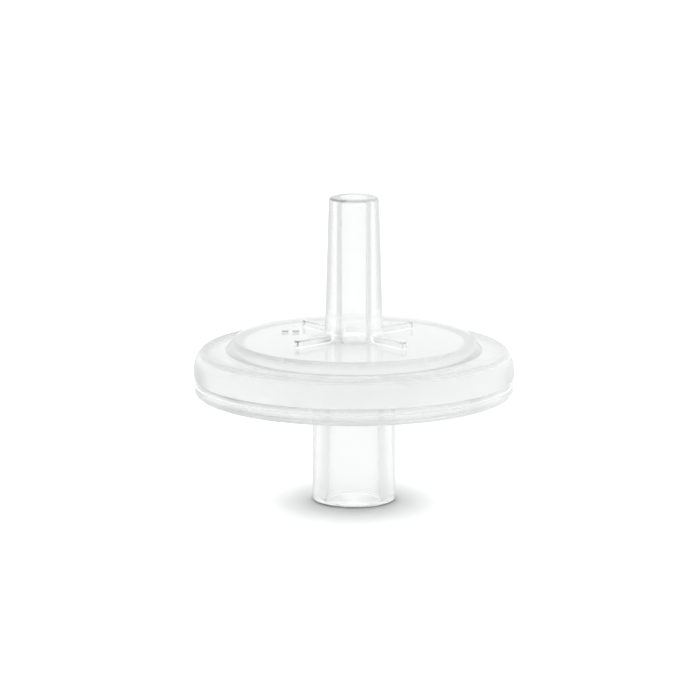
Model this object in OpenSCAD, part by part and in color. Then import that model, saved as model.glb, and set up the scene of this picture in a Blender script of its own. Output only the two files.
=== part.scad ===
// Slip-luer syringe filter: a thin round housing of two welded shells around a membrane.
// It stands on its inlet hub, with the outlet spout upward.
// Origin: centre of the hub's mouth. +Z runs up through hub, housing and spout. Millimetres.

/* [Rim] */
// Outside diameter of the welded rim
rim_d = 25.1; // [22:0.1:32]
// Height of the rim, from its underside to the flat land on top
rim_h = 3.5; // [2.9:0.1:5]
// Radius of the rim's upper edge
shoulder_r = 0.6; // [0.2:0.05:0.8]
// Height over which the rim's side bows inward
bow_h = 1.6; // [1:0.1:1.9]
// Radius of that bow
bow_r = 2.6; // [2:0.1:8]
// Radius of the rim's lower edge
lip_r = 0.5; // [0.2:0.05:0.6]
// Thickness of the inlet shell's flange, which shows as the lip below the seam
flange_t = 0.9; // [0.7:0.1:1.1]
// How far the flange stays inside the outlet shell's skirt
flange_inset = 0.05; // [0:0.01:0.2]
// Height of the seam groove above the flange
seam_h = 0.45; // [0.2:0.05:0.6]
// Depth of the seam groove
seam_depth = 0.15; // [0.05:0.01:0.3]

/* [Raised plate] */
// Rise of the plate above the rim's land
plate_rise = 0.9; // [0.5:0.1:1.4]
// How far the plate's side leans inward over that rise
plate_draft = 0.75; // [0.1:0.05:0.9]
// How far the plate's foot reaches past the membrane's seat
plate_over = 0.15; // [0:0.05:0.4]
// Radius of the plate's upper edge
plate_edge_r = 0.12; // [0.05:0.01:0.2]
// Radius in the corner between the plate's side and the land
plate_foot_r = 0.15; // [0.05:0.01:0.25]
// Wall thickness of both shells' discs
wall = 1.1; // [0.9:0.1:1.4]

/* [Outlet spout] */
// Height of the spout above the plate
spout_h = 11.2; // [8:0.1:14]
// Diameter of the male luer cone at its tip
luer_tip_d = 3.93; // [3.9:0.01:3.99]
// Taper of both luer cones, as change of diameter per length
luer_taper = 0.06; // [0.055:0.001:0.065]
// Diameter of the round bore through the spout
outlet_bore_d = 2.1; // [1:0.1:2.6]
// Radius of the tip's outer edge
tip_edge_r = 0.3; // [0.1:0.05:0.4]
// Radius of the bore's edge at the tip
bore_edge_r = 0.12; // [0.05:0.01:0.2]
// Radius where the spout meets the plate
spout_root_r = 0.3; // [0.1:0.05:0.5]

/* [Gussets] */
// Number of gussets around the spout's foot
gusset_count = 4; // [2:1:8]
// Reach of a gusset from the axis
gusset_reach = 6.0; // [4:0.1:8]
// Height of a gusset above the plate
gusset_h = 0.6; // [0.3:0.05:1.5]
// Width of a gusset
gusset_w = 0.5; // [0.3:0.05:1]
// Direction of the first gusset, counter-clockwise from +X
gusset_turn = 41; // [0:1:90]

/* [Inlet hub] */
// Height from the hub's mouth to the rim's underside
hub_h = 8.5; // [7:0.1:12]
// Outside diameter of the hub
hub_d = 6.5; // [6:0.1:8]
// Diameter of the female luer socket at its mouth
socket_d = 4.3; // [4.27:0.005:4.315]
// Diameter of the round port between socket and filter chamber
inlet_bore_d = 1.8; // [1:0.1:2.6]
// Length of that port
inlet_bore_l = 2.1; // [1:0.1:3]
// Radius of the mouth's outer edge
hub_edge_r = 0.2; // [0.05:0.05:0.4]
// Width of the lead-in chamfer at the mouth
lead_in = 0.15; // [0.05:0.05:0.3]
// Radius where the hub meets the housing's underside
hub_root_r = 0.6; // [0.2:0.1:1]

/* [Membrane and its support] */
// Thickness of the membrane
membrane_t = 0.2; // [0.1:0.02:0.4]
// Width of the membrane's rim held between the shells
clamp_w = 0.8; // [0.5:0.1:1.5]
// Gap between the membrane's edge and the tongue around it
membrane_edge_gap = 0.45; // [0.1:0.05:1]
// Height of the outlet shell's support ridges
outlet_ridge_h = 0.4; // [0.2:0.05:0.6]
// Height of the inlet shell's spreading ridges
inlet_ridge_h = 0.3; // [0.2:0.05:0.5]
// Width of a ridge
ridge_w = 0.6; // [0.3:0.05:0.8]
// Distance from one ridge to the next, on the outlet side
outlet_pitch = 1.2; // [0.9:0.05:2]
// Distance from one ridge to the next, on the inlet side
inlet_pitch = 1.6; // [1:0.1:2.5]
// Radius at which the ridges start
ridge_start_r = 1.9; // [1.6:0.1:3]
// Number of radial channels that cross the outlet ridges
outlet_channels = 8; // [4:1:12]
// Number of radial channels that cross the inlet ridges
inlet_channels = 6; // [3:1:12]
// Width of a radial channel
channel_w = 0.7; // [0.4:0.05:1]

/* [Weld joint] */
// Thickness of the outlet shell's skirt
skirt_t = 1.1; // [0.9:0.1:1.5]
// Thickness of the inlet shell's fence, inside the skirt
fence_t = 0.45; // [0.3:0.05:0.8]
// Thickness of the outlet shell's tongue, inside the fence
tongue_t = 0.95; // [0.6:0.05:1.2]
// Radial clearance between the nested rings
joint_gap = 0.05; // [0.02:0.01:0.1]
// Height of the groove's floor above the flange
groove_floor_h = 0.5; // [0.3:0.1:0.7]
// Pocket left above the fence for melted flash
flash_gap = 0.1; // [0.05:0.01:0.2]
// Thickness of the wall between the groove and the recess in the underside
recess_wall = 0.9; // [0.7:0.1:1.2]
// Radius in the recess's corner
recess_r = 0.3; // [0.1:0.05:0.5]

/* [Hidden] */
$fn = 96;

// Overlap that keeps cuts and joins clean
eps = 0.01;

// Radii from the outside of the rim to the filter chamber, ring by ring
rim_r = rim_d / 2;
flange_r = rim_r - flange_inset;
skirt_in_r = rim_r - skirt_t;
fence_out_r = skirt_in_r - joint_gap;
fence_in_r = fence_out_r - fence_t;
tongue_out_r = fence_in_r - joint_gap;
tongue_in_r = tongue_out_r - tongue_t;
table_r = tongue_in_r - joint_gap;
membrane_r = tongue_in_r - membrane_edge_gap;
chamber_r = membrane_r - clamp_w;
recess_out_r = table_r - recess_wall;
plate_bottom_r = tongue_in_r + plate_over;
plate_top_r = plate_bottom_r - plate_draft;

// Heights from the rim's underside up
rim_z = hub_h;
flange_z = rim_z + flange_t;
groove_z = flange_z + groove_floor_h;
land_z = rim_z + rim_h;
plate_z = land_z + plate_rise;
tip_z = plate_z + spout_h;

// Heights from the plate down through the filter
ceiling_z = plate_z - wall;
membrane_top_z = ceiling_z - outlet_ridge_h;
membrane_bottom_z = membrane_top_z - membrane_t;
floor_z = membrane_bottom_z - inlet_ridge_h;
underside_z = floor_z - wall;

// The luer cones
luer_slope = luer_taper / 2;
tip_r = luer_tip_d / 2;
spout_root_at_r = tip_r + luer_slope * spout_h;
socket_r = socket_d / 2;
socket_depth = floor_z - inlet_bore_l;
socket_end_r = socket_r - luer_slope * socket_depth;

// The rim's side: a bow of radius bow_r, and a shoulder arc that meets it and the land smoothly
bow_z = land_z - bow_h;
bow_centre_r = rim_r - bow_r;
shoulder_z = land_z - shoulder_r;
shoulder_angle = asin((shoulder_z - bow_z) / (bow_r - shoulder_r));
shoulder_centre_r = bow_centre_r + (bow_r - shoulder_r) * cos(shoulder_angle);

// Rectangle of a half profile, from radius r0 to r1 and from height z0 to z1
module ring(r0, r1, z0, z1) {
    translate([r0, z0]) square([r1 - r0, z1 - z0]);
}

// Square-cornered piece with a concave arc, at a right-angled corner at the origin. The arc's centre
// lies towards sx, sy. Subtracted it rounds a convex edge, added it fills a concave corner.
module corner(r, sx, sy) {
    difference() {
        translate([sx > 0 ? -eps : -r, sy > 0 ? -eps : -r]) square(r + eps);
        translate([sx * r, sy * r]) circle(r);
    }
}

// Solid outline of the rim's skirt and land, without its inside
module skirt_outline() {
    reach = rim_d;
    difference() {
        union() {
            ring(0, rim_r, flange_z + seam_h, bow_z);
            ring(0, rim_r - seam_depth, flange_z, bow_z);
            ring(0, bow_centre_r, bow_z - eps, land_z);
            intersection() {
                translate([bow_centre_r, bow_z]) circle(bow_r);
                ring(bow_centre_r - eps, rim_r, bow_z - eps, land_z);
            }
        }
        difference() {
            translate([shoulder_centre_r, shoulder_z]) polygon([
                [0, 0],
                [reach * cos(shoulder_angle), reach * sin(shoulder_angle)],
                [0, reach]
            ]);
            translate([shoulder_centre_r, shoulder_z]) circle(shoulder_r);
        }
    }
}

// Raised plate with its drafted side
module plate_outline() {
    lean = atan(plate_draft / plate_rise);
    difference() {
        polygon([
            [0, land_z - eps], [plate_bottom_r, land_z - eps], [plate_bottom_r, land_z],
            [plate_top_r, plate_z], [0, plate_z]
        ]);
        translate([plate_top_r, plate_z]) blunt(plate_edge_r, 90 + lean);
    }
    translate([plate_bottom_r, land_z]) foot_fill(plate_foot_r, 90 + lean);
}

// Cutter that rounds the corner at the origin between a flat top, to the left, and a side that
// falls away to the right. angle is the material's angle in the corner.
module blunt(r, angle) {
    back = r / tan(angle / 2);
    difference() {
        polygon([
            [-back, 0], [-back, r], [r, r], [r, -r],
            [-back * cos(angle), -back * sin(angle)]
        ]);
        translate([-back, -r]) circle(r);
    }
}

// Filler for the corner at the origin between a flat land, to the right, and a side that leans
// back to the left. angle is the open angle in the corner.
module foot_fill(r, angle) {
    back = r / tan(angle / 2);
    difference() {
        polygon([
            [back, 0], [back, -eps], [0, -eps],
            [back * cos(angle), back * sin(angle)], [back, r]
        ]);
        translate([back, r]) circle(r);
    }
}

// Spout with its luer cone, rounded tip and root
module spout_outline() {
    difference() {
        polygon([
            [0, plate_z - eps], [spout_root_at_r, plate_z - eps], [spout_root_at_r, plate_z],
            [tip_r, tip_z], [0, tip_z]
        ]);
        translate([tip_r, tip_z]) corner(tip_edge_r, -1, -1);
    }
    translate([spout_root_at_r, plate_z]) corner(spout_root_r, 1, 1);
}

// Everything inside the outlet shell: bore, chamber, membrane seat and the joint's grooves
module outlet_hollow() {
    below = flange_z - 1;
    ring(0, outlet_bore_d / 2, below, tip_z + 1);
    translate([outlet_bore_d / 2, tip_z]) corner(bore_edge_r, 1, -1);
    ring(0, chamber_r, below, ceiling_z);
    ring(0, tongue_in_r, below, membrane_top_z);
    ring(0, tongue_out_r, below, groove_z);
    ring(tongue_out_r, skirt_in_r, below, membrane_bottom_z + flash_gap);
}

// Concentric ridges crossed by radial channels, between z0 and z1. The last ridge starts at least
// a pitch inside the chamber's wall, so a ring stays free around it.
module ridges(z0, z1, pitch, channels) {
    last = floor((chamber_r - ridge_start_r - pitch) / pitch);
    translate([0, 0, z0]) linear_extrude(z1 - z0) difference() {
        for (i = [0:last]) difference() {
            circle(ridge_start_r + i * pitch + ridge_w);
            circle(ridge_start_r + i * pitch);
        }
        for (a = [0:channels - 1]) rotate(a * 360 / channels)
            translate([0, -channel_w / 2]) square([chamber_r, channel_w]);
    }
}

// Straight bars around the spout's foot
module gussets() {
    start = tip_r;
    for (a = [0:gusset_count - 1]) rotate(gusset_turn + a * 360 / gusset_count)
        translate([start, -gusset_w / 2, plate_z - eps])
            cube([gusset_reach - start, gusset_w, gusset_h + eps]);
}

module outlet_shell() {
    color([0.90, 0.93, 0.92, 0.45]) {
        difference() {
            union() {
                rotate_extrude() {
                    skirt_outline();
                    plate_outline();
                    spout_outline();
                }
                gussets();
            }
            rotate_extrude() outlet_hollow();
        }
        ridges(membrane_top_z, ceiling_z + eps, outlet_pitch, outlet_channels);
    }
}

// Half profile of the inlet shell: flange, fence, table, hub and root fillets
module inlet_outline() {
    hub_r = hub_d / 2;
    difference() {
        union() {
            ring(0, flange_r, rim_z, flange_z);
            ring(0, fence_in_r + eps, rim_z, groove_z);
            ring(fence_in_r, fence_out_r, rim_z, membrane_bottom_z);
            ring(0, table_r, rim_z, floor_z);
            ring(chamber_r, table_r, rim_z, membrane_bottom_z);
        }
        translate([flange_r, rim_z]) corner(lip_r, -1, 1);
        ring(hub_r, recess_out_r, rim_z - 1, underside_z);
    }
    translate([hub_r, underside_z]) corner(hub_root_r, 1, -1);
    translate([recess_out_r, underside_z]) corner(recess_r, -1, -1);
    difference() {
        ring(0, hub_r, 0, rim_z + eps);
        translate([hub_r, 0]) corner(hub_edge_r, -1, 1);
    }
}

// Luer socket with its lead-in, and the port beyond it
module inlet_hollow() {
    polygon([
        [0, -1], [socket_r + lead_in + 1, -1], [socket_r + lead_in, 0], [socket_r, lead_in],
        [socket_end_r, socket_depth], [0, socket_depth]
    ]);
    ring(0, inlet_bore_d / 2, -1, floor_z + 1);
}

module inlet_shell() {
    color([0.86, 0.90, 0.89, 0.45]) {
        rotate_extrude() difference() {
            inlet_outline();
            inlet_hollow();
        }
        ridges(floor_z - eps, membrane_bottom_z, inlet_pitch, inlet_channels);
    }
}

module membrane() {
    color("white") translate([0, 0, membrane_bottom_z]) cylinder(h = membrane_t, r = membrane_r);
}

outlet_shell();
inlet_shell();
membrane();
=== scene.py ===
"""Syringe filter: smooth clear shells and a white membrane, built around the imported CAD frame.

Sizes are in millimetres until they go into a mesh. Materials work in metres, as Blender does.
"""
import math

import bmesh
import bpy
from mathutils import Matrix, Vector


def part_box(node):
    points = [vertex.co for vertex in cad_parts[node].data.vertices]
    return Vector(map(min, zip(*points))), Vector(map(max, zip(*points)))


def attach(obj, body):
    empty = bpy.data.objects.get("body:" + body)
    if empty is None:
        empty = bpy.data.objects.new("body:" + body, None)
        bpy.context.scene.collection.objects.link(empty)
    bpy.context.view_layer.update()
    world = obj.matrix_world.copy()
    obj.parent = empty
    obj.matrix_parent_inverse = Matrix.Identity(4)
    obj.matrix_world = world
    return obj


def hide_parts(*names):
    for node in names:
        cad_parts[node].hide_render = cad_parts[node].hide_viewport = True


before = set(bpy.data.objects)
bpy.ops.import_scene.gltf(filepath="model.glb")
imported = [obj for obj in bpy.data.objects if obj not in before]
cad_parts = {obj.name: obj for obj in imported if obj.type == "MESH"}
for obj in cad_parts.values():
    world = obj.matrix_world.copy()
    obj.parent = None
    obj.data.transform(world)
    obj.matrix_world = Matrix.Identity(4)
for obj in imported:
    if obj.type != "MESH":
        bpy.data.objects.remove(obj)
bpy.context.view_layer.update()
MM = 0.001

# ---------------------------------------------------------------- sizes from the frame
outlet_lo, outlet_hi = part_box("outlet_shell")
membrane_lo, membrane_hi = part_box("membrane")

RIM_R = outlet_hi.x / MM
TIP_Z = outlet_hi.z / MM
FLANGE_Z = outlet_lo.z / MM
MEMBRANE_R = membrane_hi.x / MM
MEMBRANE_LO = membrane_lo.z / MM
MEMBRANE_HI = membrane_hi.z / MM

# ---------------------------------------------------------------- sizes as in part.scad
# rim and plate
FLANGE_T = 0.9
FLANGE_INSET = 0.05
RIM_H = 3.5
SHOULDER_R = 0.6
BOW_H = 1.6
BOW_R = 2.6
SEAM_H = 0.45
SEAM_DEPTH = 0.15
PLATE_RISE = 0.9
PLATE_DRAFT = 0.75
PLATE_OVER = 0.15
WALL = 1.1
# luer cones, bores and hub
TIP_R = 1.965
SLOPE = 0.03
BORE_R = 1.05
SOCKET_R = 2.15
PORT_R = 0.9
PORT_L = 2.1
HUB_R = 3.25
LEAD_IN = 0.15
# ridges, channels and the membrane's held edge
CLAMP_W = 0.8
INLET_RIDGE_H = 0.3
RIDGE_START = 1.9
RIDGE_W = 0.6
OUTLET_PITCH, OUTLET_CHANNELS = 1.2, 8
INLET_PITCH, INLET_CHANNELS = 1.6, 6
CHANNEL_W = 0.7
# weld joint
SKIRT_T = 1.1
FENCE_T = 0.45
TONGUE_T = 0.95
JOINT_GAP = 0.05
GROOVE_FLOOR_H = 0.5
FLASH_GAP = 0.1
RECESS_WALL = 0.9
# gussets, a little lower than the CAD's
GUSSET_COUNT = 4
GUSSET_REACH = 6.0
GUSSET_H = 0.55
GUSSET_W = 0.5
GUSSET_TURN = 41

FLANGE_R = RIM_R - FLANGE_INSET
RIM_Z = FLANGE_Z - FLANGE_T
LAND_Z = RIM_Z + RIM_H
PLATE_Z = LAND_Z + PLATE_RISE
CEILING_Z = PLATE_Z - WALL
FLOOR_Z = MEMBRANE_LO - INLET_RIDGE_H
UNDERSIDE_Z = FLOOR_Z - WALL
GROOVE_Z = FLANGE_Z + GROOVE_FLOOR_H
SEAM_TOP = FLANGE_Z + SEAM_H
SEAM_R = RIM_R - SEAM_DEPTH

SKIRT_IN_R = RIM_R - SKIRT_T
FENCE_OUT_R = SKIRT_IN_R - JOINT_GAP
FENCE_IN_R = FENCE_OUT_R - FENCE_T
TONGUE_OUT_R = FENCE_IN_R - JOINT_GAP
TONGUE_IN_R = TONGUE_OUT_R - TONGUE_T
TABLE_R = TONGUE_IN_R - JOINT_GAP
CHAMBER_R = MEMBRANE_R - CLAMP_W
RECESS_R = TABLE_R - RECESS_WALL
PLATE_FOOT_R = TONGUE_IN_R + PLATE_OVER
PLATE_TOP_R = PLATE_FOOT_R - PLATE_DRAFT

SPOUT_ROOT_R = TIP_R + SLOPE * (TIP_Z - PLATE_Z)
SOCKET_DEPTH = FLOOR_Z - PORT_L

# the bow of the rim's side and the shoulder arc that runs into it
BOW_Z = LAND_Z - BOW_H
BOW_CENTRE_R = RIM_R - BOW_R
SHOULDER_A = math.degrees(math.asin((LAND_Z - SHOULDER_R - BOW_Z) / (BOW_R - SHOULDER_R)))
SHOULDER_CENTRE_R = BOW_CENTRE_R + (BOW_R - SHOULDER_R) * math.cos(math.radians(SHOULDER_A))

# ---------------------------------------------------------------- sizes of the visible meshes only
TURNS = 384             # vertices round a shell
FILM_TURNS = 192        # vertices round the membrane
INNER_EDGE = 0.05       # radius of the small inner edges
GAP = 0.01              # left between the shells' faces that touch in the CAD, so that none coincide
FILM_GAP = 0.006        # the same for the membrane
BAR_EDGE = 0.13         # rounding of the gussets and marks
BAR_END = 0.4           # length of a gusset's end that is shaded
MARKS_X = (-5.42, -4.57)
MARK_Y = 2.2
MARK_L, MARK_W, MARK_H = 0.58, 0.4, 0.18

# ---------------------------------------------------------------- looks of the clear plastic
IOR = 1.49
TINT = (0.968, 0.976, 0.971, 1)
# the dark colour of the painted shade, which the clear tint blends towards
PAINTED_SHADE_COLOUR = (0.12, 0.13, 0.13, 1)
HAZE = (0.98, 0.995, 0.985, 1)
HAZE_DENSITY, HAZE_FORWARD = 200.0, 0.7
GLOSS_ROUGH, FUSED_ROUGH, SATIN_ROUGH = 0.03, 0.17, 0.25
STREAK, PEEL = 0.0012, 0.0002           # heights of the fine rings and of the uneven skin
# painted shade: it varies at random round the part between VARY_LO and VARY_HI, and LEAN makes it darker
# on the left side
VARY_LO, VARY_HI, LEAN = 0.7, 1.3, -0.2  # how the edge shade varies round the part
CLOUD = 0.04                            # mottling of the satin places

# painted shade where a face is seen at a low angle, and on steep walls
GRAZE_FROM, GRAZE = 0.82, 0.55
WALL_SHADE, HUB_WALL_SHADE = 0.4, 0.4

# painted shade of the zones on the mesh: dark lines and bands, and a painted contact shadow at the hub's
# foot
SHADE_BAR, SHADE_BAR_TOP, SHADE_MARK = 0.9, 0.4, 0.72
SHADE_TIP, SHADE_FACE = 0.7, 0.45
SHADE_ROOT, SHADE_ABOVE_ROOT = 0.35, 0.4
SHADE_CONE, SHADE_CONE_FOOT, SHADE_PLATE_FOOT = 0.4, 0.4 * 0.35, 0.08
SHADE_LAND, SHADE_LAND_EDGE, SHADE_SHOULDER = 0.2, 0.4, 0.3
SHADE_SEAM, SHADE_LIP, SHADE_HUB = 0.5, 0.35, 0.5
PLATE_SATIN, LIP_SATIN = 0.35, 0.7
CEILING_FUSED = 0.95

# share of the lamps' light that passes: just above the hub's foot, and through the spout
FOOT_PASS, SPOUT_PASS = 0.6, 0.85
FOOT_H = 0.004

# ---------------------------------------------------------------- looks of the membrane
DRY_LO, DRY_HI = (0.935, 0.945, 0.94, 1), (0.975, 0.985, 0.98, 1)
SOAKED = (0.66, 0.68, 0.67, 1)
MEMBRANE_PASS = 0.6

# ---------------------------------------------------------------- stage, light and camera
# BACK, RIGHT and LEFT bound the white parts of the surround that the plastic shows, as shares of the
# distance from the axis: 1 lies straight behind the part, or straight to its right or left.
FLOOR = (0.877, 0.88, 0.883, 1)
GLOW_CAMERA, GLOW_STRETCH = 0.45, (1.1, 0.94, 0.0)
GLOW_THROUGH, GLOW_IN_HUB = 0.14, 0.42
BACK_FROM, BACK_FAR, BACK_NEAR = 0.64, 0.86, 0.94
RIGHT_FROM, RIGHT_TO, RIGHT = 0.82, 0.9, 0.6
LEFT_FROM, LEFT_TO, LEFT = 0.8, 0.95, 0.4
FLOOR_SIDE_FAR, FLOOR_SIDE_NEAR = 0.55, 0.82
WORLD_SIDE, WORLD_FRONT, WORLD_TOP = 0.65, 0.65, 1.0
LIGHT, LIGHT_BACK, LIGHT_CROSS = 0.95, 0.85, 0.6

CAMERA_AT = (0.0, -0.380, 0.0899)
CAMERA_AIM = (0, 0, 0.011935)
LENS, SENSOR, SHIFT_X = 254.9, 36, -0.0057


# ---------------------------------------------------------------- shapes
def arc(cx, cz, r, a0, a1, n):
    """Points on an arc in the r-z plane, from angle a0 to a1 in degrees."""
    return [
        (cx + r * math.cos(math.radians(a0 + (a1 - a0) * i / n)),
         cz + r * math.sin(math.radians(a0 + (a1 - a0) * i / n)))
        for i in range(n + 1)
    ]


class Outline:
    """A closed r-z outline, made corner by corner, anticlockwise with r to the right."""

    def __init__(self):
        self.corners = []
        self.terrain = None

    def to(self, r, z, radius=0.0):
        self.corners.append((r, z, radius))

    def along(self, points):
        self.corners += [(r, z, 0.0) for r, z in points]

    def ridged(self, top_z, pitch, channels):
        """The edge from the last corner to the next carries ring-shaped ridges up to top_z."""
        self.terrain = (len(self.corners) - 1, top_z, pitch, channels)

    def rings(self, steps=5, longest=0.8):
        """Points with rounded corners and no long edge, and the index at which the ridged edge starts."""
        out, start = [], None
        count = len(self.corners)
        for i, (r, z, radius) in enumerate(self.corners):
            p = Vector((r, z))
            if radius > 0:
                u = (Vector(self.corners[i - 1][:2]) - p).normalized()
                v = (Vector(self.corners[(i + 1) % count][:2]) - p).normalized()
                half = u.angle(v) / 2
                back = radius / math.tan(half)
                centre = p + (u + v).normalized() * (radius / math.sin(half))
                s, e = p + u * back - centre, p + v * back - centre
                turn = -s.angle_signed(e)
                for k in range(steps + 1):
                    c, q = math.cos(turn * k / steps), math.sin(turn * k / steps)
                    out.append((centre.x + s.x * c - s.y * q, centre.y + s.x * q + s.y * c))
            else:
                out.append((r, z))
            if self.terrain and self.terrain[0] == i:
                start = len(out) - 1
                continue
            nxt = self.corners[(i + 1) % count]
            a = Vector(out[-1])
            b = Vector(nxt[:2])
            if nxt[2] > 0:
                far = Vector(self.corners[(i + 2) % count][:2])
                half = (a - b).angle(far - b) / 2
                b = b + (a - b).normalized() * (nxt[2] / math.tan(half))
            extra = int((b - a).length / longest)
            for k in range(1, extra + 1):
                q = a.lerp(b, k / (extra + 1))
                out.append((q.x, q.y))
        return out, start


def station(i, r, channels):
    """Angle of vertex i on a ring of radius r. Vertices sit on both walls of each channel."""
    per = TURNS // channels
    sector, k = divmod(i + 2, per)
    k -= 2
    wall = math.asin(CHANNEL_W / 2 / r)
    step = 2 * math.pi / channels
    if k <= 2:
        inside = wall * k / 2
    else:
        inside = wall + (step - 2 * wall) * (k - 2) / (per - 4)
    return sector * step + inside


def add_ridges(bm, first, last, base_z, top_z, pitch, channels):
    """Flat ground from ring first to ring last, with ridges that radial channels cross."""
    outer = max(first[0].co.xy.length, last[0].co.xy.length) / MM
    radii = []
    r = RIDGE_START
    while r + pitch < outer + 1e-6:
        radii += [r, r + RIDGE_W]
        r += pitch
    if first[0].co.xy.length > last[0].co.xy.length:
        radii.reverse()
    per = TURNS // channels

    def place(r, z):
        return [
            bm.verts.new((r * MM * math.cos(a), r * MM * math.sin(a), z * MM))
            for a in (station(i, r, channels) for i in range(TURNS))
        ]

    low = [first] + [place(r, base_z) for r in radii] + [last]
    top = [None] + [place(r, top_z) for r in radii] + [None]
    used = set()

    def raised(band, i):
        return band % 2 == 1 and (i + 2) % per >= 4

    def face(*corners):
        bm.faces.new(corners)
        used.update(corners)

    for band in range(len(low) - 1):
        for i in range(TURNS):
            j = (i + 1) % TURNS
            up = raised(band, i)
            ground = top if up else low
            face(ground[band][i], ground[band][j], ground[band + 1][j], ground[band + 1][i])
            if band and up != raised(band - 1, i):
                face(low[band][i], low[band][j], top[band][j], top[band][i])
            if up != raised(band, i - 1):
                face(low[band][i], low[band + 1][i], top[band + 1][i], top[band][i])
    for ring in low[1:-1] + top[1:-1]:
        for v in ring:
            if v not in used:
                bm.verts.remove(v)


def into_object(name, bm):
    mesh = bpy.data.meshes.new(name)
    bm.to_mesh(mesh)
    bm.free()
    piece = bpy.data.objects.new(name, mesh)
    bpy.context.scene.collection.objects.link(piece)
    return piece


def lathe(name, outline, turns=TURNS):
    """Closed body of revolution from an outline, with its ridges if it has any."""
    points, start = outline.rings()
    bm = bmesh.new()
    rings = [
        [
            bm.verts.new((r * MM * math.cos(2 * math.pi * i / turns),
                          r * MM * math.sin(2 * math.pi * i / turns), z * MM))
            for i in range(turns)
        ]
        for r, z in points
    ]
    for k, (a, b) in enumerate(zip(rings, rings[1:] + rings[:1])):
        if k == start:
            _, top_z, pitch, channels = outline.terrain
            add_ridges(bm, a, b, points[k][1], top_z, pitch, channels)
            continue
        for i in range(turns):
            j = (i + 1) % turns
            bm.faces.new((a[i], a[j], b[j], b[i]))
    bmesh.ops.recalc_face_normals(bm, faces=bm.faces)
    return into_object(name, bm)


def bar(bm, x0, x1, width, z0, z1, place):
    """A bar along x with rounded upper edges and ends, put into bm and moved by place.

    A long bar has a cut near its end x1, so that a shade can stop there.
    """
    made = bmesh.new()
    bmesh.ops.create_cube(made, size=1.0)
    for v in made.verts:
        v.co = Vector((
            x0 if v.co.x < 0 else x1,
            width / 2 * (1 if v.co.y > 0 else -1),
            z0 if v.co.z < 0 else z1,
        ))
    edges = [
        e for e in made.edges
        if all(w.co.z > z1 - 1e-6 for w in e.verts) or all(w.co.x > x1 - 1e-6 for w in e.verts)
        or all(w.co.x < x0 + 1e-6 for w in e.verts)
    ]
    bmesh.ops.bevel(made, geom=edges, offset=BAR_EDGE, segments=4, profile=0.5, affect="EDGES")
    if x1 - x0 > 2 * BAR_END:
        bmesh.ops.bisect_plane(
            made, geom=made.verts[:] + made.edges[:] + made.faces[:],
            plane_co=(x1 - BAR_END, 0, 0), plane_no=(1, 0, 0),
        )
    for v in made.verts:
        v.co = place @ v.co * MM
    mesh = bpy.data.meshes.new("bar")
    made.to_mesh(mesh)
    made.free()
    bm.from_mesh(mesh)
    bpy.data.meshes.remove(mesh)


def join_solid(piece, other):
    """Joins other into piece as one closed solid and takes other away."""
    join = piece.modifiers.new("join", "BOOLEAN")
    join.operation = "UNION"
    join.solver = "EXACT"
    join.object = other
    graph = bpy.context.evaluated_depsgraph_get()
    mesh = bpy.data.meshes.new_from_object(piece.evaluated_get(graph))
    piece.modifiers.clear()
    piece.data = mesh
    bpy.data.objects.remove(other)


def smooth(piece, degrees=28):
    piece.data.shade_smooth()
    piece.data.set_sharp_from_angle(angle=math.radians(degrees))


def mark_faces(piece, name, *zones):
    """Attribute of the faces: the value of the last zone (value, r0, r1, z0, z1) they are in, else 0."""
    made = piece.data.attributes.new(name, "FLOAT", "FACE")
    for face, item in zip(piece.data.polygons, made.data):
        r, z = face.center.xy.length / MM, face.center.z / MM
        for value, r0, r1, z0, z1 in zones:
            if r0 < r < r1 and z0 < z < z1:
                item.value = value


def flat_points(mesh):
    """Points on flat faces: level ones, and those that stand along or across a gusset or mark."""
    along = Matrix.Rotation(-math.radians(GUSSET_TURN), 3, "Z")
    found = set()
    for face in mesh.polygons:
        n = face.normal
        m = along @ n
        inner = face.center.xy.length < GUSSET_REACH * MM * 0.5
        if max(abs(n.z), abs(m.x), abs(m.y)) > 0.99 or (inner and max(abs(n.x), abs(n.y)) > 0.99):
            found.update(face.vertices)
    return found


def mark_points(piece, name, *zones, bars=0.0):
    """Attribute of the points: the highest value of their zones (value, r0, r1, z0, z1), else 0.

    A sixth number, tilt, makes the value more behind and less in front. The round edges of gussets and
    marks get bars, times the share of the place.
    """
    mesh = piece.data
    made = mesh.attributes.new(name, "FLOAT", "POINT")
    flat = flat_points(mesh)
    for v, item in zip(mesh.vertices, made.data):
        r, z = v.co.xy.length / MM, v.co.z / MM
        for value, r0, r1, z0, z1, *tilt in zones:
            if r0 < r < r1 and z0 < z < z1:
                behind = v.co.y / max(v.co.xy.length, 1e-6)
                item.value = max(item.value, min(1.0, value * (1 + sum(tilt) * behind)))
        if z > PLATE_Z + 0.01 and r > SPOUT_ROOT_R + 0.35 and v.index not in flat:
            if v.co.x < -4 * MM and abs(v.co.y - MARK_Y * MM) < 0.4 * MM:
                share = SHADE_MARK
            elif r > GUSSET_REACH - 0.3:
                share = 1.0
            else:
                share = SHADE_BAR_TOP if r > SPOUT_ROOT_R + 0.8 else 0.0
            item.value = bars * share


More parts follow.
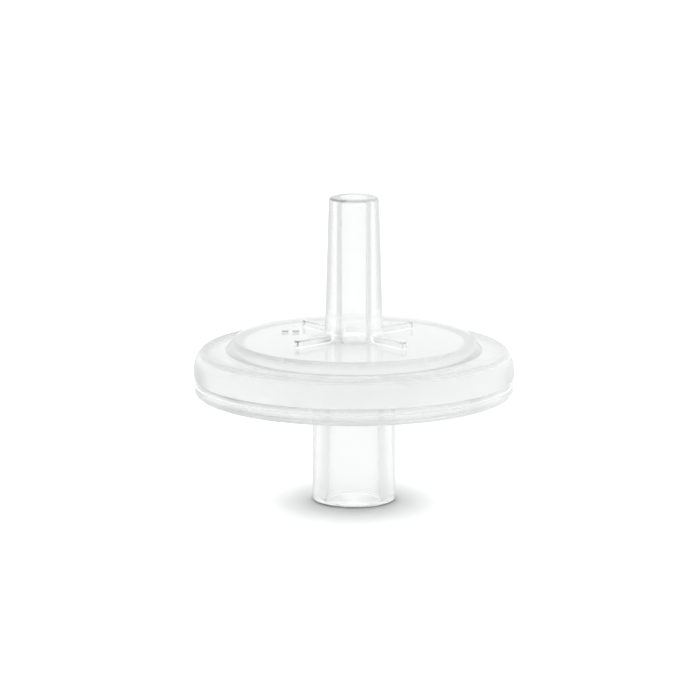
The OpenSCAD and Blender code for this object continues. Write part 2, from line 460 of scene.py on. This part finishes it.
# ---------------------------------------------------------------- outlet shell
line = Outline()
line.to(SKIRT_IN_R, FLANGE_Z + GAP)
line.to(SEAM_R, FLANGE_Z + GAP, 0.03)
line.to(SEAM_R, SEAM_TOP, 0.05)
line.to(RIM_R, SEAM_TOP, 0.12)
line.along(arc(BOW_CENTRE_R, BOW_Z, BOW_R, 0, SHOULDER_A, 12))
line.along(arc(SHOULDER_CENTRE_R, LAND_Z - SHOULDER_R, SHOULDER_R, SHOULDER_A, 90, 12)[1:])
line.to(PLATE_FOOT_R, LAND_Z, 0.15)
for share in (0.2, 0.5, 0.8):
    line.to(PLATE_FOOT_R + (PLATE_TOP_R - PLATE_FOOT_R) * share, LAND_Z + (PLATE_Z - LAND_Z) * share)
line.to(PLATE_TOP_R, PLATE_Z, 0.12)
line.to(SPOUT_ROOT_R, PLATE_Z, 0.3)
line.to(TIP_R + SLOPE * 0.4, TIP_Z - 0.4)
line.to(TIP_R, TIP_Z, 0.3)
line.to(BORE_R, TIP_Z, 0.12)
line.to(BORE_R, CEILING_Z, 0.08)
line.ridged(MEMBRANE_HI + GAP, OUTLET_PITCH, OUTLET_CHANNELS)
line.to(CHAMBER_R, CEILING_Z, 0.1)
line.to(CHAMBER_R, MEMBRANE_HI, INNER_EDGE)
line.to(TONGUE_IN_R, MEMBRANE_HI, INNER_EDGE)
line.to(TONGUE_IN_R, GROOVE_Z + GAP, INNER_EDGE)
line.to(TONGUE_OUT_R, GROOVE_Z + GAP, INNER_EDGE)
line.to(TONGUE_OUT_R, MEMBRANE_LO + FLASH_GAP, INNER_EDGE)
line.to(SKIRT_IN_R, MEMBRANE_LO + FLASH_GAP, INNER_EDGE)
outlet = lathe("outlet_shell_clear", line)

# the gussets at the spout's foot, and two short raised bars beside one of them
bm = bmesh.new()
for k in range(GUSSET_COUNT):
    bar(bm, 1.6, GUSSET_REACH, GUSSET_W, PLATE_Z - 0.3, PLATE_Z + GUSSET_H,
        Matrix.Rotation(math.radians(GUSSET_TURN + 90 * k), 4, "Z"))
for x in MARKS_X:
    bar(bm, -MARK_L / 2, MARK_L / 2, MARK_W, -0.2, MARK_H, Matrix.Translation((x, MARK_Y, PLATE_Z)))
bmesh.ops.recalc_face_normals(bm, faces=bm.faces)
join_solid(outlet, into_object("bars", bm))
smooth(outlet)

# ---------------------------------------------------------------- inlet shell and membrane
line = Outline()
line.to(PORT_R, SOCKET_DEPTH, INNER_EDGE)
line.to(SOCKET_R - SLOPE * SOCKET_DEPTH, SOCKET_DEPTH, 0.1)
line.to(SOCKET_R, LEAD_IN)
line.to(SOCKET_R + LEAD_IN, 0.0, 0.05)
line.to(HUB_R, 0.0, 0.2)
line.to(HUB_R, UNDERSIDE_Z, 0.6)
line.to(RECESS_R, UNDERSIDE_Z, 0.3)
line.to(RECESS_R, RIM_Z, 0.08)
line.to(FLANGE_R, RIM_Z, 0.45)
line.to(FLANGE_R, FLANGE_Z, 0.08)
line.to(FENCE_OUT_R, FLANGE_Z)
line.to(FENCE_OUT_R, MEMBRANE_LO, INNER_EDGE)
line.to(FENCE_IN_R, MEMBRANE_LO, INNER_EDGE)
line.to(FENCE_IN_R, GROOVE_Z, INNER_EDGE)
line.to(TABLE_R, GROOVE_Z, INNER_EDGE)
line.to(TABLE_R, MEMBRANE_LO, INNER_EDGE)
line.to(CHAMBER_R, MEMBRANE_LO, INNER_EDGE)
line.to(CHAMBER_R, FLOOR_Z, 0.1)
line.ridged(MEMBRANE_LO - GAP, INLET_PITCH, INLET_CHANNELS)
line.to(PORT_R, FLOOR_Z, INNER_EDGE)
inlet = lathe("inlet_shell_clear", line)
smooth(inlet)

line = Outline()
line.to(0.001, MEMBRANE_LO + FILM_GAP)
line.to(MEMBRANE_R, MEMBRANE_LO + FILM_GAP, 0.03)
line.to(MEMBRANE_R, MEMBRANE_HI - FILM_GAP, 0.03)
line.to(0.001, MEMBRANE_HI - FILM_GAP)
film = lathe("membrane_film", line, FILM_TURNS)
smooth(film)

for piece, node, slot in (
    (outlet, "outlet_shell", "housing_plastic"),
    (inlet, "inlet_shell", "housing_plastic"),
    (film, "membrane", "membrane_white"),
):
    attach(piece, "root")
    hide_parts(node)


# ---------------------------------------------------------------- zones that the plastic's look reads
# "fused": faces inside the weld and against the membrane, which carry little or no gloss of their own
mark_faces(
    outlet, "fused",
    (1.0, CHAMBER_R - 0.01, SKIRT_IN_R + 0.01, FLANGE_Z, CEILING_Z),
    (1.0, SKIRT_IN_R - 0.01, SEAM_R - 0.05, FLANGE_Z, FLANGE_Z + 0.02),
    (CEILING_FUSED, BORE_R + 0.1, CHAMBER_R + 0.05, MEMBRANE_HI - 0.005, CEILING_Z + 0.005),
)
mark_faces(
    inlet, "fused",
    (1.0, CHAMBER_R - 0.01, FENCE_OUT_R + 0.01, FLANGE_Z, MEMBRANE_LO + 0.01),
    (1.0, FENCE_OUT_R - 0.01, SEAM_R - 0.05, FLANGE_Z - 0.01, FLANGE_Z + 0.01),
    (0.0, PORT_R + 0.1, CHAMBER_R + 0.05, FLOOR_Z - 0.005, MEMBRANE_LO + 0.005),
)
# "shade": where the painted shade lies: dark lines and bands at the tip, the spout's root, the plate's
# cone, land, shoulder, seam and lip, on the round edges of the gussets and marks, and a painted contact
# shadow at the hub's foot; it is stronger behind on the land and shoulder, and strongest in front and
# none behind at the hub's foot
mark_points(
    outlet, "shade",
    (SHADE_TIP, TIP_R - 0.28, TIP_R + 0.1, TIP_Z - 0.2, TIP_Z + 0.1),
    (SHADE_FACE, BORE_R + 0.1, TIP_R - 0.28, TIP_Z - 0.01, TIP_Z + 0.1),
    (SHADE_ROOT, SPOUT_ROOT_R - 0.1, SPOUT_ROOT_R + 0.32, PLATE_Z - 0.01, PLATE_Z + 0.28),
    (SHADE_ABOVE_ROOT, SPOUT_ROOT_R - 0.1, SPOUT_ROOT_R + 0.05, PLATE_Z + 0.28, PLATE_Z + 0.4),
    (SHADE_CONE, PLATE_TOP_R - 0.03, PLATE_TOP_R + 0.3,
     LAND_Z + (PLATE_Z - LAND_Z) * 0.7, PLATE_Z + 0.1),
    (SHADE_CONE_FOOT, PLATE_TOP_R, PLATE_FOOT_R, LAND_Z + (PLATE_Z - LAND_Z) * 0.4, PLATE_Z),
    (SHADE_PLATE_FOOT, PLATE_FOOT_R - 0.08, PLATE_FOOT_R + 0.1, LAND_Z - 0.1, LAND_Z + 0.1),
    (SHADE_LAND, RIM_R - 1.9, RIM_R - 1.0, LAND_Z - 0.1, LAND_Z + 0.1, 1.0),
    (SHADE_LAND_EDGE, RIM_R - 1.0, RIM_R - 0.4, LAND_Z - 0.15, LAND_Z + 0.1, 0.6),
    (SHADE_SHOULDER, RIM_R - 0.7, RIM_R + 0.1, LAND_Z - 0.3, LAND_Z + 0.1, 0.6),
    (SHADE_SEAM, SEAM_R - 0.01, RIM_R - 0.04, SEAM_TOP - 0.06, SEAM_TOP + 0.03),
    bars=SHADE_BAR,
)
mark_points(
    inlet, "shade",
    (SHADE_LIP, FLANGE_R - 0.5, FLANGE_R + 0.1, RIM_Z - 0.1, RIM_Z + 0.5),
    (SHADE_HUB, HUB_R - 0.22, HUB_R + 0.1, -0.1, 0.1, -1.0),
)
# "satin": the less glossy places
mark_points(
    outlet, "satin",
    (1.0, RIM_R - 0.35, RIM_R + 0.1, SEAM_TOP + 0.02, LAND_Z - 0.2),
    (PLATE_SATIN, SPOUT_ROOT_R + 0.3, PLATE_TOP_R, PLATE_Z - 0.01, PLATE_Z + 0.01),
)
mark_points(
    inlet, "satin",
    (LIP_SATIN, FLANGE_R - 0.6, FLANGE_R + 0.1, RIM_Z - 0.1, FLANGE_Z - 0.1),
)
# "contact": the hub's foot line, which lets no lamp light through
mark_points(inlet, "contact", (1.0, HUB_R - 0.22, HUB_R + 0.1, -0.1, 0.22))


# ---------------------------------------------------------------- materials
class Tree:
    """Makes and links the nodes of one node tree."""

    def __init__(self, owner):
        owner.use_nodes = True
        self.nodes, self.links = owner.node_tree.nodes, owner.node_tree.links
        self.nodes.clear()

    def add(self, kind, inputs=None, **settings):
        made = self.nodes.new("ShaderNode" + kind)
        for key, value in settings.items():
            setattr(made, key, value)
        for key, value in (inputs or {}).items():
            if isinstance(value, bpy.types.NodeSocket):
                self.links.new(value, made.inputs[key])
            else:
                made.inputs[key].default_value = value
        return made

    def math(self, operation, a, b=0.0, c=0.0):
        return self.add("Math", {0: a, 1: b, 2: c}, operation=operation).outputs[0]

    def vector(self, operation, a, b=(0, 0, 0)):
        return self.add("VectorMath", {0: a, 1: b}, operation=operation).outputs[0]

    def length(self, a):
        return self.add("VectorMath", {0: a}, operation="LENGTH").outputs["Value"]

    def noise(self, place, scale, detail, roughness=0.5):
        made = self.add(
            "TexNoise", {"Vector": place, "Scale": scale, "Detail": detail, "Roughness": roughness}
        )
        return made.outputs["Fac"]

    def attribute(self, name):
        return self.add("Attribute", attribute_name=name).outputs["Fac"]

    def place(self):
        """The place on the object, which for these objects is the place in the scene."""
        return self.add("TexCoord").outputs["Object"]

    def ramp(self, value, lo, hi, out_lo=0.0, out_hi=1.0):
        """Smooth step of a value from lo to hi."""
        made = self.add(
            "MapRange",
            {"Value": value, "From Min": lo, "From Max": hi, "To Min": out_lo, "To Max": out_hi},
            interpolation_type="SMOOTHSTEP",
        )
        return made.outputs["Result"]

    def mix(self, factor, a, b):
        """Number between a and b."""
        return self.add("Mix", {0: factor, 2: a, 3: b}).outputs[0]

    def blend(self, factor, a, b):
        """Colour between a and b."""
        return self.add("Mix", {0: factor, 6: a, 7: b}, data_type="RGBA").outputs[2]

    def any_ray(self, *names):
        """1 for the named kinds of ray, else 0."""
        path = self.add("LightPath")
        value = path.outputs[names[0]]
        for name in names[1:]:
            value = self.math("MAXIMUM", value, path.outputs[name])
        return value

    def bearing(self, place):
        """1 straight behind the axis and -1 in front of it, the place's parts, and its distance."""
        parts = self.add("SeparateXYZ", {0: place})
        x, y = parts.outputs["X"], parts.outputs["Y"]
        square = self.math("ADD", self.math("MULTIPLY", x, x), self.math("MULTIPLY", y, y))
        away = self.math("MAXIMUM", self.math("SQRT", square), 1e-5)
        return self.math("DIVIDE", y, away), parts, away


def new_material(name, *pieces):
    material = bpy.data.materials.new(name)
    for piece in pieces:
        piece.data.materials.clear()
        piece.data.materials.append(material)
    return Tree(material)


t = new_material("clear_plastic", outlet, inlet)
fused, shade, satin = t.attribute("fused"), t.attribute("shade"), t.attribute("satin")
place = t.place()
height = t.add("SeparateXYZ", {0: place}).outputs["Z"]
flat = t.vector("MULTIPLY", place, (1, 1, 0))
away = t.length(flat)
turn = t.vector("NORMALIZE", flat)
turn = t.add("VectorMath", {0: turn, "Scale": 2.2}, operation="SCALE").outputs[0]

# painted shade: the zones' shade, steep walls seen at a low angle, and every face seen at a very low
# angle
facing = t.add("LayerWeight", {"Blend": 0.5}).outputs["Facing"]
normal = t.add("SeparateXYZ", {0: t.add("NewGeometry").outputs["Normal"]}).outputs["Z"]
wall = t.ramp(t.math("ABSOLUTE", normal), 0.2, 0.6, WALL_SHADE, 0.0)
wall = t.math("MULTIPLY", wall, t.ramp(facing, 0.5, 0.8))
wall = t.math(
    "MULTIPLY", wall, t.ramp(height, RIM_Z * MM, (RIM_Z + 0.5) * MM, HUB_WALL_SHADE, 1.0)
)
shade = t.math("MAXIMUM", shade, t.math("MAXIMUM", wall, t.ramp(facing, GRAZE_FROM, 1.0, 0.0, GRAZE)))

# the painted shade varies at random round the part and is darker on the left side, and the satin places
# are mottled
patch = t.noise(turn, 0.7, 1.0)
lean = t.add("SeparateXYZ", {0: turn}).outputs["X"]
patch = t.math("MULTIPLY_ADD", lean, LEAN, patch)
shade = t.math("MULTIPLY", shade, t.ramp(patch, 0.2, 0.8, VARY_LO, VARY_HI))
cloud = t.noise(place, 450.0, 3.0, 0.6)
shade = t.math("ADD", shade, t.math("MULTIPLY", satin, t.ramp(cloud, 0.35, 0.7, 0.0, CLOUD)))

# fine rings on the satin places, and a slightly uneven skin everywhere
up = t.add("CombineXYZ", {2: t.math("MULTIPLY", t.math("ADD", height, away), 700.0)}).outputs[0]
streaks = t.noise(t.vector("ADD", turn, up), 1.0, 4.0, 0.6)
streak_height = t.math("MULTIPLY", t.math("MULTIPLY", satin, satin), STREAK)
relief = t.math(
    "ADD",
    t.math("MULTIPLY", streaks, streak_height),
    t.math("MULTIPLY", t.noise(place, 2500.0, 2.0), PEEL),
)
rough = t.math("MULTIPLY_ADD", fused, FUSED_ROUGH, GLOSS_ROUGH)
rough = t.math("ADD", rough, t.math("MULTIPLY", satin, SATIN_ROUGH))
body = t.add("BsdfPrincipled", {
    "Normal": t.add("Bump", {"Height": relief, "Distance": 0.001, "Strength": 1.0}).outputs[0],
    "Base Color": t.blend(shade, TINT, PAINTED_SHADE_COLOUR),
    "Transmission Weight": 1.0,
    "IOR": IOR,
    "Roughness": rough,
})

# rays to the light go straight through, and the foot takes some of it, so that it has a shadow
passed = t.math(
    "MINIMUM",
    t.math("SUBTRACT", 1.0, t.attribute("contact")),
    t.ramp(height, FOOT_H * 0.3, FOOT_H, FOOT_PASS, 1.0),
)
passed = t.math(
    "MINIMUM", passed, t.ramp(height, (PLATE_Z + 0.05) * MM, (PLATE_Z + 0.3) * MM, 1.0, SPOUT_PASS)
)
others = t.math("SUBTRACT", 1.0, t.any_ray("Is Shadow Ray", "Is Diffuse Ray"))
lamp = t.add("BsdfTransparent", {"Color": t.math("MAXIMUM", passed, others)})
straight = t.math(
    "MAXIMUM", t.any_ray("Is Shadow Ray", "Is Diffuse Ray", "Is Volume Scatter Ray"), fused
)
skin = t.add("MixShader", {0: straight, 1: body.outputs[0], 2: lamp.outputs[0]})
haze = t.add("VolumeScatter", {"Color": HAZE, "Density": HAZE_DENSITY, "Anisotropy": HAZE_FORWARD})
t.add("OutputMaterial", {"Surface": skin.outputs[0], "Volume": haze.outputs[0]})

t = new_material("membrane_white", film)
place = t.place()
away = t.length(t.vector("MULTIPLY", place, (1, 1, 0)))
soaked = t.ramp(away, (CHAMBER_R - 0.2) * MM, (CHAMBER_R + 0.05) * MM)
fibre = t.noise(place, 3000.0, 3.0, 0.7)
body = t.add("BsdfPrincipled", {
    "Base Color": t.blend(soaked, t.blend(fibre, DRY_LO, DRY_HI), SOAKED),
    "Roughness": t.math("MULTIPLY_ADD", soaked, -0.3, 0.8),
    "Normal": t.add("Bump", {"Height": fibre, "Distance": 0.00001, "Strength": 0.5}).outputs[0],
})
pores = t.add("BsdfTransparent", {"Color": (1, 1, 1, 1)})
lets = t.math(
    "MULTIPLY", t.any_ray("Is Shadow Ray", "Is Diffuse Ray", "Is Volume Scatter Ray"), MEMBRANE_PASS
)
mixed = t.add("MixShader", {0: lets, 1: body.outputs[0], 2: pores.outputs[0]})
t.add("OutputMaterial", {"Surface": mixed.outputs[0]})

# ---------------------------------------------------------------- floor
bm = bmesh.new()
bmesh.ops.create_grid(bm, x_segments=1, y_segments=1, size=6.0)
floor = into_object("floor", bm)

t = new_material("floor_white", floor)
cam = t.any_ray("Is Camera Ray")
through = t.any_ray("Is Glossy Ray", "Is Transmission Ray")
seen = t.math("MAXIMUM", cam, through)

# painted shade: rays through or off the plastic see the floor greyer at both sides, and white behind and
# in front; the camera sees it white
behind, parts, away = t.bearing(t.place())
far = t.ramp(away, 0.02, 0.06)
across = t.math("DIVIDE", parts.outputs["X"], away)
beside = t.math(
    "MAXIMUM",
    t.ramp(across, RIGHT_FROM, RIGHT_TO, 0.0, RIGHT),
    t.ramp(t.math("MULTIPLY", across, -1.0), LEFT_FROM, LEFT_TO, 0.0, LEFT),
)
white = t.mix(
    far,
    t.ramp(behind, BACK_FROM, BACK_NEAR),
    t.math("MAXIMUM", t.ramp(behind, BACK_FROM, BACK_FAR), beside),
)
white = t.math("MAXIMUM", white, t.ramp(behind, -0.1, -0.5))
side = t.math("SUBTRACT", 1.0, t.math("MULTIPLY", far, 1 - FLOOR_SIDE_FAR))
side = t.math("MINIMUM", side, FLOOR_SIDE_NEAR)
level = t.math("ADD", white, t.math("MULTIPLY", t.math("SUBTRACT", 1.0, white), side))
level = t.math("MAXIMUM", level, cam)          # the camera itself sees white
base = t.add("BsdfDiffuse", {"Color": FLOOR})
black = t.add("Emission", {"Strength": 0.0})
dimmed = t.add("MixShader", {
    0: t.math("MULTIPLY", seen, t.math("SUBTRACT", 1.0, level)), 1: base.outputs[0], 2: black.outputs[0],
})

# a glow: for the camera it grows with the distance from the foot, sooner at the sides than in front, so
# that the floor ends in white; to rays through or off the plastic it is painted light, strongest under
# the hub, which lightens the floor seen inside the hub
stretched = t.length(t.vector("MULTIPLY", t.place(), GLOW_STRETCH))
lift = t.math(
    "ADD",
    t.math("MULTIPLY", t.ramp(stretched, 0.003, 0.011, 0.0, GLOW_CAMERA), cam),
    t.math("MULTIPLY", through, GLOW_THROUGH),
)
under = t.math("MULTIPLY", t.ramp(away, 0.0028, 0.0031, GLOW_IN_HUB, 0.0), through)
lift = t.math("ADD", lift, under)
glow = t.add("Emission", {"Strength": t.math("MULTIPLY", t.math("MULTIPLY", seen, level), lift)})
both = t.add("AddShader", {0: dimmed.outputs[0], 1: glow.outputs[0]})
t.add("OutputMaterial", {"Surface": both.outputs[0]})

# ---------------------------------------------------------------- world
world = bpy.data.worlds.new("studio")
bpy.context.scene.world = world
t = Tree(world)

# what the camera and the rays through or off the plastic see: white to the camera, greyer sides else
behind, way, _ = t.bearing(t.add("TexCoord").outputs["Generated"])
low = t.mix(t.ramp(behind, BACK_FROM, BACK_FAR), WORLD_SIDE, 1.0)
low = t.mix(t.ramp(behind, -0.2, -0.7), low, WORLD_FRONT)
level = t.mix(t.ramp(way.outputs["Z"], 0.35, 0.8), low, WORLD_TOP)
level = t.math("MAXIMUM", level, t.any_ray("Is Camera Ray"))
backdrop = t.add("Background", {"Color": (1, 1, 1, 1), "Strength": level})

# the light itself: more from behind, less from the sides
x, y = way.outputs["X"], way.outputs["Y"]
cross = t.math("SUBTRACT", t.math("MULTIPLY", y, y), t.math("MULTIPLY", x, x))
strength = t.math("MULTIPLY_ADD", cross, LIGHT_CROSS, t.math("MULTIPLY_ADD", y, LIGHT_BACK, LIGHT))
light = t.add("Background", {"Color": (1, 1, 1, 1), "Strength": strength})

seen = t.any_ray("Is Camera Ray", "Is Glossy Ray", "Is Transmission Ray")
mixed = t.add("MixShader", {0: seen, 1: light.outputs[0], 2: backdrop.outputs[0]})
t.add("OutputWorld", {"Surface": mixed.outputs[0]})

# ---------------------------------------------------------------- camera and view
camera_data = bpy.data.cameras.new("camera")
camera = bpy.data.objects.new("camera", camera_data)
bpy.context.scene.collection.objects.link(camera)
bpy.context.scene.camera = camera
camera.location = CAMERA_AT
aim = Vector(CAMERA_AIM) - camera.location
camera.rotation_euler = aim.to_track_quat("-Z", "Y").to_euler()
camera_data.sensor_width = SENSOR
camera_data.lens = LENS
camera_data.shift_x = SHIFT_X
camera_data.clip_start = 0.01

scene = bpy.context.scene
scene.view_settings.view_transform = "Standard"
scene.cycles.max_bounces = 24
scene.cycles.transmission_bounces = 24
scene.cycles.glossy_bounces = 16
scene.cycles.transparent_max_bounces = 24
scene.cycles.volume_bounces = 12
